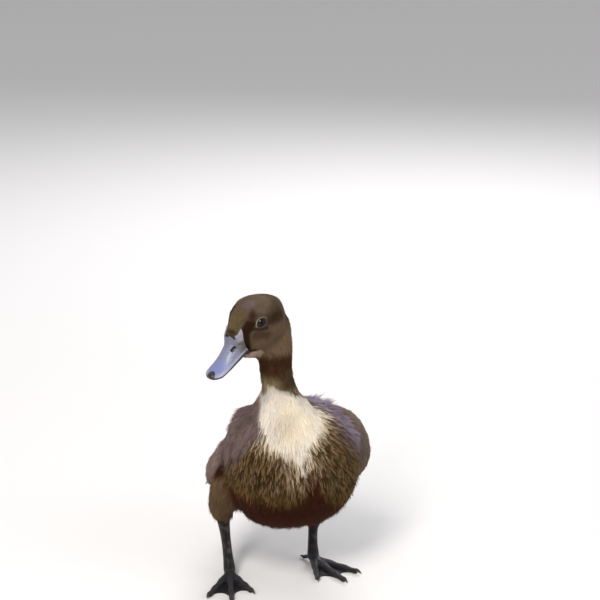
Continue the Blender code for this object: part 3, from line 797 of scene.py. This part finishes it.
class Coat:
    """Where every strand stands and how it runs."""

    def __init__(self, skin, weights):
        found = roots(skin, weights, COAT_TABLE[:, DENSITY])
        h = in_head(in_mm(found[0]))
        on_head = found[2][:, REGIONS.index("head")] > 0.5
        bare = within(np.stack([-h[:, 1], h[:, 2]], axis=1), BILL_BASE) & on_head
        bare |= round_eyes(found[0])[0] < BARE_EYE
        self.points, self.normal, self.weights, self.uv = (values[~bare] for values in found)
        self.count = len(self.points)
        self.values = self.weights @ COAT_TABLE
        self.run = lie(self.points, self.normal, self.weights)
        self.reach, away = round_eyes(self.points)
        away -= self.normal * np.sum(away * self.normal, axis=1)[:, None]
        self.run = unit(mixed(self.run, away, smooth(1.7, 1.0, self.reach) * 0.85))
        side = unit(np.cross(self.run, self.normal))
        swing = np.radians(RNG.normal(0, SWING, self.count))
        self.run = unit(self.run * np.cos(swing)[:, None] + side * np.sin(swing)[:, None])
        self.side = unit(np.cross(self.run, self.normal))
        front = smooth(-8, -26, in_mm(self.points)[:, 1]) * self.region("torso")
        spacing = self.values[:, SPACING] * (1 - 0.2 * front)
        self.clump = clumps(self.points, self.values[:, DENSITY], spacing)
        self.lock = RNG.random(self.count)[self.clump]

    def region(self, name):
        return self.weights[:, REGIONS.index(name)]


STEEPER, FLATTER = math.radians(16), math.radians(13)  # a strand's first and second half bend so
ROOT_DEPTH = 0.0005  # strands start this far under the skin
FLOOR_GAP = 0.0004


def stepped(start, coat, lift, step):
    """Points one step on from start, along the lie and lifted off the skin."""
    way = coat.run * np.cos(lift)[:, None] + coat.normal * np.sin(lift)[:, None]
    return start + way * step[:, None]


def grow(coat, material):
    """The whole coat, in pieces."""
    count, values, normal, run = coat.count, coat.values, coat.normal, coat.run
    place_mm = in_mm(coat.points)

    # The strands' shape
    length = values[:, LENGTH] * RNG.uniform(0.75, 1.2, count)
    bib, ahead = markings(coat.points + run * (length * 0.6)[:, None], coat.weights, coat.lock)[2:]
    streaks = ahead * (1 - bib)
    rump = smooth(48, 70, place_mm[:, 1]) * (coat.region("torso") + coat.region("tail"))
    up = normal[:, 2]
    rump = rump * smooth(-0.3, 0.3, up) - 0.6 * rump * smooth(-0.3, -0.6, up)
    ruffled = smooth(9, 3, to_path(place_mm, MAUVE[:4])) * coat.region("torso")
    ruffled = ruffled * smooth(0.3, 0.8, coat.lock)
    length = length * (1 - 0.6 * smooth(1.9, 1.0, coat.reach)) * (1 - 0.16 * streaks)
    length = length * (1 + 0.7 * rump) * (1 + 0.4 * ruffled)
    stray = RNG.normal(0, 5, count)
    lift = np.radians(values[:, LIFT] * (1 - 0.3 * bib) + stray + 28 * ruffled + 9 * streaks)
    width = values[:, WIDTH] * RNG.uniform(0.8, 1.2, count)
    first = coat.points - normal * ROOT_DEPTH
    second = stepped(first, coat, lift + STEEPER, length * 0.45)
    last = stepped(second, coat, lift - FLATTER, length * 0.60)
    draw = values[:, DRAW] * RNG.uniform(0.8, 1.15, count) * (1 - 0.85 * bib) * (0.75 + 0.4 * ahead)
    mine = coat.clump
    last = mixed(last, last[mine] + (last - last[mine]) * 0.08, np.clip(draw, 0, 0.97))
    second = mixed(second, second[mine], np.clip(draw * 0.35, 0, 0.5))
    second[:, 2] = np.maximum(second[:, 2], FLOOR_GAP)
    last[:, 2] = np.maximum(last[:, 2], FLOOR_GAP)

    # Their colours, read where each part of a strand is seen
    root = markings(coat.points + run * (length * 0.2)[:, None], coat.weights, coat.lock)[0]
    tip = markings(coat.points + run * (length * 0.6)[:, None], coat.weights, coat.lock)[1]
    fleck = 1 + (RNG.uniform(-0.14, 0.14, count) * (1 - 0.7 * bib))[:, None]
    root, tip = root * fleck, tip * fleck
    waist = mixed(root, tip, 0.42 + 0.3 * bib - 0.25 * streaks)

    head = coat.region("head") > 0.6
    order = np.lexsort((coat.points[:, 2], head))
    long_down = ((first, second, last), (width, width * 0.8), (root, waist, tip))
    short_down = ((first, last), (width,), (root, tip))
    for group, parts, name in ((~head, long_down, "down_body"), (head, short_down, "down_head")):
        chosen = order[group[order]]
        size = PIECE_LIMIT // len(TRIANGLES[len(parts[0])])
        for number, k in enumerate(range(0, len(chosen), size)):
            i = chosen[k : k + size]
            centres, widths, colours = (tuple(value[i] for value in part) for part in parts)
            axes = (coat.side[i], normal[i])
            piece = f"{name}_{number:02d}"
            strand_piece(piece, centres, widths, axes, colours, coat.uv[i], name, material)


# The tail's tuft, tier by tier: locks, length, spread and rise in degrees, lift, and shift forward
TUFT_TIERS = (
    (13, 0.0330, 30, -20, 0.0085, 0.009),
    (13, 0.0290, 31, -9, 0.0030, 0),
    (12, 0.0310, 29, -16, 0.0008, 0),
    (10, 0.0260, 25, -27, -0.0016, 0),
)
TUFT_ROOT = np.array((0.013, 0.0815, 0.0645))
TUFT_SIDE = 0.0100  # how far to the side the outermost lock starts
LOCK_STRANDS = 110
LOCK_WIDTH = 0.0034
LOCK_THICKNESS = 0.0011
LOCK_SUNK = 0.009  # how far its strands reach back into the rump
LOCK_DROOP = 0.002
TUFT_COLOUR = palette(root=(50, 36, 31), tip=(76, 57, 51))


def tuft_lock(tier, share):
    """One lock's strands: root, waist and tip points, and the ways across and up for each.

    share runs from -1 on the right to 1 on the left."""
    _, length, spread, rise, lift, forward = tier
    swing, pitch = math.radians(spread * share), math.radians(rise)
    level = math.cos(pitch)
    ahead = np.array((math.sin(swing) * level, math.cos(swing) * level, math.sin(pitch)))
    up = np.array((0, 0, 1.0)) - ahead * ahead[2]
    up /= np.linalg.norm(up)
    across = np.cross(ahead, up)
    root = TUFT_ROOT + (TUFT_SIDE * share, -0.003 * share**2 - forward, lift * (1 - 0.5 * share**2))
    n = LOCK_STRANDS
    wide = RNG.uniform(-1, 1, n)[:, None] * across * LOCK_WIDTH
    thick = RNG.uniform(-1, 1, n)[:, None] * up * LOCK_THICKNESS
    long = length * (1 - 0.22 * share**2) * RNG.uniform(0.35, 1.0, n)[:, None] * RNG.uniform(0.85, 1.0)
    first = root - ahead * LOCK_SUNK + wide * 0.8 + thick
    second = root + ahead * long * 0.45 + wide * 1.05 + thick * 1.4
    last = root + ahead * long + wide * 0.12 - up * LOCK_DROOP
    return first, second, last, np.tile(across, (n, 1)), np.tile(up, (n, 1))


def tail_tuft(coat, material):
    """Stiff, tapered locks in tiers at the end of the rump."""
    locks = [tuft_lock(tier, share) for tier in TUFT_TIERS for share in np.linspace(-1, 1, tier[0])]
    first, second, last, across, up = (np.concatenate(values) for values in zip(*locks))
    first, second, last = first + SHIFT, second + SHIFT, last + SHIFT
    count = len(first)
    uv = coat.uv[nearest(coat.points, range(coat.count), first)]
    tone = RNG.uniform(0.75, 1.25, count)[:, None]
    width = RNG.uniform(0.00022, 0.00034, count)
    dark, tip = TUFT_COLOUR["root"] * tone, TUFT_COLOUR["tip"] * tone
    colours = (dark, mixed(dark, tip, 0.6), tip)
    centres, widths, axes = (first, second, last), (width, width), (across, up)
    strand_piece("down_tail", centres, widths, axes, colours, uv, "down_body", material)


# Eyes
EYE_COLOUR = palette(iris=(26, 14, 10), ray=(48, 28, 18), pupil=(4, 3, 4), rim=(12, 8, 7))
PUPIL_EDGE = (23, 20)  # degrees from the eye's axis
IRIS_EDGE = (35, 40)
CORNEA_RISE, CORNEA_ANGLE = 0.07, 26
IRIS_RAYS = 23
LID_COLOUR = palette(pale=(116, 101, 90), dark=(44, 30, 22))
LID_SIZE = (3.85, 2.95, 2.85)  # half length, and the heights of the upper and lower lid, in mm
LID_CORNER = 0.60  # how far the lids run out into their corners
LID_THICKNESS = 0.36
LID_OUT = 3.3  # from the eye's centre
LID_GRID = (72, 14)  # points round the eye and round the lid


def eye(side, name, material):
    """A dark eye with a slightly raised cornea, a brown iris and a black pupil."""
    builder = bmesh.new()
    bmesh.ops.create_uvsphere(builder, u_segments=64, v_segments=48, radius=EYE_RADIUS)
    mesh = bpy.data.meshes.new(name)
    builder.to_mesh(mesh)
    builder.free()
    co = coordinates(mesh)
    angle = np.degrees(np.arccos(np.clip(co[:, 2] / EYE_RADIUS, -1, 1)))
    co *= (1 + CORNEA_RISE * np.exp(-((angle / CORNEA_ANGLE) ** 2)))[:, None]
    turn = np.arctan2(co[:, 1], co[:, 0])
    rays = 0.5 + 0.5 * np.sin(turn * IRIS_RAYS + np.sin(turn * 7) * 2)
    colour = layered(
        EYE_COLOUR["iris"],
        (EYE_COLOUR["ray"], rays * 0.6),
        (EYE_COLOUR["pupil"], smooth(*PUPIL_EDGE, angle)),
        (EYE_COLOUR["rim"], smooth(*IRIS_EDGE, angle)),
    )
    move(mesh, co)
    paint(mesh, colour)
    mesh.shade_smooth()
    mesh.transform(eye_frame(side))
    place(add_object("ball_" + name, mesh), material, "eye_gloss", name)


def lids(side, name, material):
    """Two wrinkled lids that meet in a corner before and behind the eye."""
    rows, columns = LID_GRID
    turn = np.linspace(0, 2 * math.pi, rows, endpoint=False)
    roll = np.linspace(0, 2 * math.pi, columns, endpoint=False)
    a, b = np.meshgrid(turn, roll, indexing="ij")
    half_length, upper, lower = LID_SIZE
    long_way = half_length + LID_CORNER * np.abs(np.cos(a)) ** 6
    high_way = np.where(np.sin(a) > 0, upper, lower)
    wrinkles = 0.06 * np.sin(a * 17) * np.sin(a * 5 + 1)
    thick = LID_THICKNESS + wrinkles + 0.10 * np.maximum(-np.sin(a), 0)
    x = np.cos(a) * (long_way + thick * np.cos(b))
    y = np.sin(a) * (high_way + thick * np.cos(b))
    bend = 0.055 * (x**2 + y**2)
    z = 0.35 + thick * np.sin(b) * 0.95 - bend * 0.55 + LID_OUT
    co = np.stack([x, y, z], axis=-1).reshape(-1, 3) / MM
    mesh = bpy.data.meshes.new(name)
    mesh.from_pydata(co.tolist(), [], tube(rows, columns, rows).tolist())
    pale = smooth(0.4, -0.3, np.sin(a)) * (0.55 + 0.45 * smooth(-0.3, 0.6, np.cos(a)))
    outer = 1 - 0.8 * smooth(0.2, -0.9, np.cos(b))
    paint(mesh, mixed(LID_COLOUR["dark"], LID_COLOUR["pale"], (pale * outer).reshape(-1)))
    mesh.shade_smooth()
    mesh.transform(eye_frame(side))
    place(add_object(name, mesh), material, "down_head")


# Bill. Places are in the head's own frame and in millimetres: forward, height.
HORN = palette(
    plain=(114, 119, 142), base=(100, 96, 112), end=(108, 114, 164), corner=(132, 122, 130),
    hinge=(62, 59, 50), blotch=(98, 102, 116), speck=(78, 80, 94), rim=(156, 154, 168),
    edge=(36, 28, 30), nostril=(6, 4, 5), nail=(30, 20, 15), bare_skin=(150, 128, 124),
    lower_edge=(40, 31, 33), lower_nail=(52, 36, 28),
)
BILL_EDGE = ((25, 29, 34, 44, 51.5, 54), (-2.6, -3.1, -3.7, -3.9, -3.3, -2.6))
NOSTRIL = ((31.4, 3.8), (28.8, 4.5))
NOSTRIL_DEPTH = 0.0018
NAIL = (52.0, 3.0, 3.1)  # its middle forward, and half its length and width
BASE_GRID = 0.36
BASE_RIM = 0.25
BASE_BALL = 0.00062
BASE_SUNK = 0.00022
BASE_BLEND = (24.7, 28.0)  # between these the plate runs from the head's side to the bill's
BASE_DROP = 0.8  # and comes down by this
BESIDE_HEAD = 0.03


def base_points():
    """Places on a fine grid inside the bill base's outline, and along the outline."""
    low, high = np.min(BILL_BASE, axis=0), np.max(BILL_BASE, axis=0)
    grid = np.meshgrid(np.arange(low[0], high[0], BASE_GRID), np.arange(low[1], high[1], BASE_GRID))
    flat = np.stack([g.ravel() for g in grid], axis=1)
    rim = []
    for a, b in zip(BILL_BASE, BILL_BASE[1:] + BILL_BASE[:1]):
        rim += list(np.linspace(a, b, max(int(math.dist(a, b) / BASE_RIM), 2)))
    return [*flat[within(flat, BILL_BASE)], *rim]


def bill_base(builder, side, head):
    """The horn's corner beside the forehead: a thin plate of balls that hugs the head."""
    inwards = HEAD_TO_CAD.to_3x3() @ Vector((-side, 0, 0))

    def beside(forward, height):
        start = HEAD_TO_CAD @ Vector((side * BESIDE_HEAD, -forward / MM, height / MM))
        at, normal, _, _ = head.ray_cast(start, inwards)
        return at and at - normal * BASE_SUNK

    near, far = BASE_BLEND
    for forward, height in base_points():
        centre = beside(forward, height)
        if near < forward < far:
            first, last = beside(near, height), beside(far, height - BASE_DROP)
            if first and last:
                centre = first.lerp(last, (forward - near) / (far - near))
        if centre:
            matrix = Matrix.Translation(centre)
            bmesh.ops.create_icosphere(builder, subdivisions=1, radius=BASE_BALL, matrix=matrix)


def bill_shape(name, node, upper):
    """The node's own shape, and on the upper bill the horn's two corners as well."""
    builder = solids(node)
    if upper:
        surface = solids("head", "bill_upper")
        head = BVHTree.FromBMesh(surface)
        surface.free()
        for side in (1, -1):
            bill_base(builder, side, head)
    return remeshed(name, builder, voxel=0.00028, rounds=5)


def bill(name, node, material, upper):
    """The bill with its ridge, nostrils, rim and nail, painted in the head's own frame."""
    mesh = bill_shape(name, node, upper)
    co = coordinates(mesh)
    h = in_head(in_mm(co))
    lateral, forward, height = np.abs(h[:, 0]), -h[:, 1], h[:, 2]
    behind = smooth(4, 7, lateral)
    hinge = smooth(30, 25, forward) * smooth(8.0, 5.5, height) * behind
    blotch = smooth(0.25, 0.9, ripple(h, 3.2, 5)) * smooth(46, 30, forward)
    speck = smooth(0.55, 0.95, ripple(h, 1.1, 6)) * smooth(44, 30, forward)
    colour = layered(
        HORN["plain"],
        (HORN["base"], smooth(34, 28, forward) * 0.85),
        (HORN["end"], smooth(36, 44, forward) * 0.7),
        (HORN["corner"], smooth(27, 24, forward) * behind),
        (HORN["hinge"], hinge),
        (HORN["blotch"], blotch * 0.6),
        (HORN["speck"], speck * 0.5),
    )
    rise = height - np.interp(forward, *BILL_EDGE)
    if upper:
        nostril = to_segment(np.stack([forward, height], axis=1), *NOSTRIL)
        hole = smooth(0.95, 0.6, nostril) * smooth(3.2, 4.0, lateral)
        inwards = np.array(HEAD_TO_CAD.to_3x3() @ Vector((1, 0, 0)))
        move(mesh, co - np.sign(h[:, :1]) * inwards * (hole * NOSTRIL_DEPTH)[:, None])
        nail_middle, nail_length, nail_width = NAIL
        nail = np.hypot(lateral / nail_width, (forward - nail_middle) / nail_length)
        colour = layered(
            colour,
            (HORN["rim"], smooth(3.2, 2.2, rise) * smooth(1.0, 1.6, rise) * 0.5),
            (HORN["edge"], smooth(1.7, 1.1, rise)),
            # Painted shade: the sunk nostril is painted near black
            (HORN["nostril"], hole),
            (HORN["nail"], smooth(1.3, 0.95, nail)),
        )
    else:
        colour = layered(
            colour,
            (HORN["bare_skin"], smooth(34, 27, forward) * 0.7),
            (HORN["lower_edge"], smooth(1.6, 0.8, -rise) * 0.95),
            (HORN["lower_nail"], smooth(48.5, 51, forward)),
        )
    paint(mesh, colour)
    place(add_object(name, mesh), material, "bill_horn", node)


# Legs, in millimetres and degrees: where the ankle is above the floor, how far the foot turns,
# which way is outwards, and each toe's length and spread
LEGS = {"left": ((31.0, 5.0), 19, 1), "right": ((-31.5, -6.2), -9, -1)}
TOES = ((36, 25), (40, 0), (31, -27))
HIND_TOE = (10.0, 165, 0.66)  # length, spread and size
SCUTE = 1.5  # between the rings of scales on the toes
CLAW_START = 0.965  # as a share of the toe's length
CLAW_LENGTH = 5.0
CLAW_RADIUS = 1.42
CLAW_POINT = 0.06
CLAW_HEIGHT = 2.55
CLAW_GRID = (9, 12)  # rings, and points a ring
LEG_COLOUR = palette(
    shank=(16, 10, 8), foot=(26, 23, 24), stripe=(92, 86, 80), web=(30, 27, 28), scute=(74, 74, 84),
    claw=(22, 17, 15), claw_base=(52, 44, 40),
)


def leg(side, material):
    """Shank, webbed foot and toes in one scaled surface."""
    name = f"leg_{side}"
    mesh = remeshed(name, solids(f"shank_{side}", f"foot_{side}"), voxel=0.00042, rounds=3)
    co = coordinates(mesh)
    co[:, 2] = np.maximum(co[:, 2], 0)
    move(mesh, co)
    p = in_mm(co)
    height = p[:, 2]
    normal = normals(mesh)
    front = smooth(0.2, 0.8, -normal[:, 1])
    # Painted highlight: pale glossy streaks on the front of the shank
    stripe = smooth(10, 15, height) * front * smooth(0.0, 0.8, ripple(p, 5, 8))
    webs = smooth(2.4, 1.2, height) * smooth(0.8, 0.95, normal[:, 2])
    ankle = LEGS[side][0]
    distance = np.hypot(p[:, 0] - ankle[0], p[:, 1] - ankle[1])
    rings = 0.5 + 0.5 * np.sin(distance * 2 * math.pi / SCUTE)
    toes = smooth(2.0, 3.4, height) * smooth(9, 5, height)
    colour = layered(
        LEG_COLOUR["shank"],
        (LEG_COLOUR["foot"], smooth(9, 4, height)),
        (LEG_COLOUR["stripe"], stripe * 0.4),
        (LEG_COLOUR["web"], webs),
        (LEG_COLOUR["scute"], rings * toes * 0.35),
    )
    paint(mesh, colour * (1 + 0.10 * ripple(p, 2.0, 9))[:, None])
    place(add_object(name, mesh), material, "leg_skin", f"shank_{side}", f"foot_{side}")


def claw(ankle, angle, start, scale):
    """Rings of points along one curved claw, in millimetres."""
    rings, sides = CLAW_GRID
    share = np.repeat(np.arange(rings) / (rings - 1), sides)
    turn = np.tile(2 * math.pi * np.arange(sides) / sides, rings)
    a = math.radians(angle)
    radius = CLAW_RADIUS * scale * (1 - share**1.5) ** 0.8 + CLAW_POINT
    out = start + CLAW_LENGTH * share * scale
    across = radius * np.cos(turn)
    x = ankle[0] + math.sin(a) * out + math.cos(a) * across
    y = ankle[1] - math.cos(a) * out + math.sin(a) * across
    z = (CLAW_HEIGHT + 0.5 * np.sin(share * 2.4) - 1.9 * share**2.2) * scale
    return np.stack([x, y, np.maximum(z + radius * 0.95 * np.sin(turn), 0.05)], axis=1)


def claws(side, material):
    """A curved claw on every toe."""
    ankle, turn, outward = LEGS[side]
    toes = [(turn + outward * spread, length * CLAW_START, 1.0) for length, spread in TOES]
    length, spread, size = HIND_TOE
    toes.append((turn - outward * spread, length, size))
    points = np.concatenate([claw(ankle, *toe) for toe in toes])
    rings, sides = CLAW_GRID
    shell = np.roll(tube(rings, sides, rings - 1)[:, ::-1], 1, axis=1)
    cap = np.arange(sides)
    faces = []
    for first in range(0, len(points), rings * sides):
        ends = [(first + cap[::-1]).tolist(), (first + (rings - 1) * sides + cap).tolist()]
        faces += (first + shell).tolist() + ends
    name = f"claws_{side}"
    mesh = bpy.data.meshes.new(name)
    mesh.from_pydata((points / MM + SHIFT).tolist(), [], faces)
    paint(mesh, mixed(LEG_COLOUR["claw"], LEG_COLOUR["claw_base"], smooth(0.0, 3.0, points[:, 2])))
    mesh.shade_smooth()
    place(add_object(name, mesh), material, "leg_skin")


# Stage, light and camera
FLOOR_REACH = 6.0
FLOOR_TONES = ((0.70, 0.69, 0.67, 1), (0.76, 0.75, 0.73, 1))
BODY_AIM = (0, 0, 0.1)
HEAD_AIM = (0, 0, 0.18)
# Each lamp: name, place, aim, size, power and colour
LAMPS = (
    ("key", (-0.55, -0.9, 1.25), BODY_AIM, 0.55, 16, (1.0, 0.965, 0.92)),
    ("fill", (1.2, -0.8, 0.7), BODY_AIM, 1.2, 7, (0.95, 0.96, 1.0)),
    ("rim", (0.5, 1.1, 1.0), BODY_AIM, 0.7, 12, (0.97, 0.96, 1.0)),
    ("catch", (-0.75, -1.1, 1.0), HEAD_AIM, 0.28, 6, (1.0, 0.94, 0.95)),
)
CAMERA_AT = Vector((-0.25399, -1.19491, 0.54463))
CAMERA_LOOK = Vector((0.21497, 0.93739, -0.27402))
LENS = 113.1


def stage():
    mesh = bpy.data.meshes.new("floor")
    signs = ((-1, -1), (1, -1), (1, 1), (-1, 1))
    mesh.from_pydata([(sx * FLOOR_REACH, sy * FLOOR_REACH, 0) for sx, sy in signs], [], [(0, 1, 2, 3)])
    floor = add_object("floor", mesh)
    finish = Finish("floor_pale")
    cloud = finish.node("ShaderNodeTexNoise", Scale=3)
    ramp = finish.node("ShaderNodeValToRGB")
    for element, tone in zip(ramp.color_ramp.elements, FLOOR_TONES):
        element.color = tone
    finish.join(cloud.outputs["Fac"], ramp, "Fac")
    finish.join(ramp.outputs["Color"], finish.shader, "Base Color")
    tune(finish.shader, Roughness=0.9)
    mesh.materials.append(finish.material)


def lamp(name, at, aim, size, power, colour):
    data = bpy.data.lights.new(name, "AREA")
    data.shape = "DISK"
    data.size = size
    data.energy = power
    data.color = colour
    made = add_object(name, data)
    made.location = at
    made.rotation_euler = (Vector(aim) - Vector(at)).to_track_quat("-Z", "Y").to_euler()


def light():
    for row in LAMPS:
        lamp(*row)
    world = bpy.data.worlds.new("studio")
    world.use_nodes = True
    tune(world.node_tree.nodes["Background"], Color=(0.95, 0.96, 1.0, 1), Strength=0.55)
    bpy.context.scene.world = world
    bpy.context.scene.view_settings.view_transform = "Standard"


def camera():
    data = bpy.data.cameras.new("camera")
    data.lens = LENS
    data.sensor_width = 36
    made = add_object("camera", data)
    made.location = BIRD @ CAMERA_AT
    made.rotation_euler = CAMERA_LOOK.to_track_quat("-Z", "Y").to_euler()
    bpy.context.scene.camera = made


def main():
    camera()
    light()
    stage()
    skin, weights = body_skin()
    unwrapped(skin)
    co = coordinates(skin.data)
    root, tip, bib, _ = markings(co, weights, np.full(len(co), 0.4))
    paint(skin.data, mixed(root, tip, 0.2 + 0.4 * bib))
    place(skin, skin_material(), "down_body", *NODE_REGION)
    coat = Coat(skin, weights)
    down = down_material()
    grow(coat, down)
    tail_tuft(coat, down)
    gloss, lid = eye_material(), lid_material()
    for side, name in ((1, "left"), (-1, "right")):
        eye(side, f"eye_{name}", gloss)
        lids(side, f"lids_{name}", lid)
    horn = bill_material()
    bill("beak_upper", "bill_upper", horn, True)
    bill("beak_lower", "bill_lower", horn, False)
    scaly = leg_material()
    for side in ("left", "right"):
        leg(side, scaly)
        claws(side, scaly)


main()
